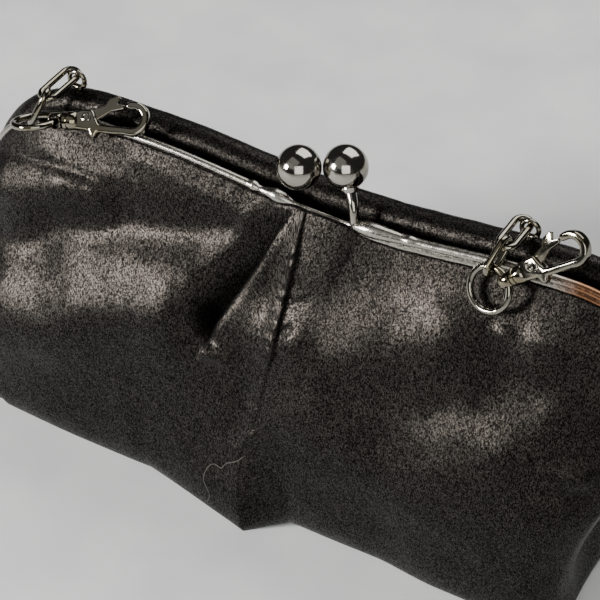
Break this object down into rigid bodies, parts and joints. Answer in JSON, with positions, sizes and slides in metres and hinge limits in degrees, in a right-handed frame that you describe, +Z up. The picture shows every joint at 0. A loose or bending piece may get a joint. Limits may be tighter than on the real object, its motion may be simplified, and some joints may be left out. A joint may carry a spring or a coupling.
{
  "type": "evening clutch",
  "caption": "Soft satin evening clutch with a rounded metal frame, kiss-lock knobs, a padded back edge, and chain ends that carry swivel trigger clasps.",
  "frame": {"origin": "under the middle of the bag, at the level of its flat base", "axes": "+X along the frame, to the right when the front panel is seen; -Y towards the front; +Z up, out of the mouth"},
  "size_m": [0.2486, 0.0738, 0.1374],
  "materials": {
    "satin": "satin",
    "nickel": "polished"
  },
  "bodies": {
    "bag": {"satin_body": "satin", "back_roll": "satin", "front_frame": "nickel", "back_frame": "nickel", "left_hinge_pin": "nickel", "right_hinge_pin": "nickel", "left_upper_link": "nickel", "left_lower_link": "nickel", "left_ring": "nickel", "left_swivel": "nickel", "left_hook": "nickel", "left_rivet": "nickel", "right_upper_link": "nickel", "right_lower_link": "nickel", "right_ring": "nickel", "right_swivel": "nickel", "right_hook": "nickel", "right_rivet": "nickel"},
    "left_gate_body": {"left_gate": "nickel"},
    "right_gate_body": {"right_gate": "nickel"}
  },
  "joints": [
    {"name": "left_gate_hinge", "type": "hinge", "parent": "bag", "child": "left_gate_body", "pos_m": [-0.07866, -0.00875, 0.11981], "axis": [-0.102, 0.6827, -0.7236], "range_deg": [0, 25], "stiffness_Nm_per_rad": 0.02},
    {"name": "right_gate_hinge", "type": "hinge", "parent": "bag", "child": "right_gate_body", "pos_m": [0.07144, -0.01072, 0.1228], "axis": [0.1813, 0.9146, -0.3614], "range_deg": [0, 25], "stiffness_Nm_per_rad": 0.02}
  ]
}
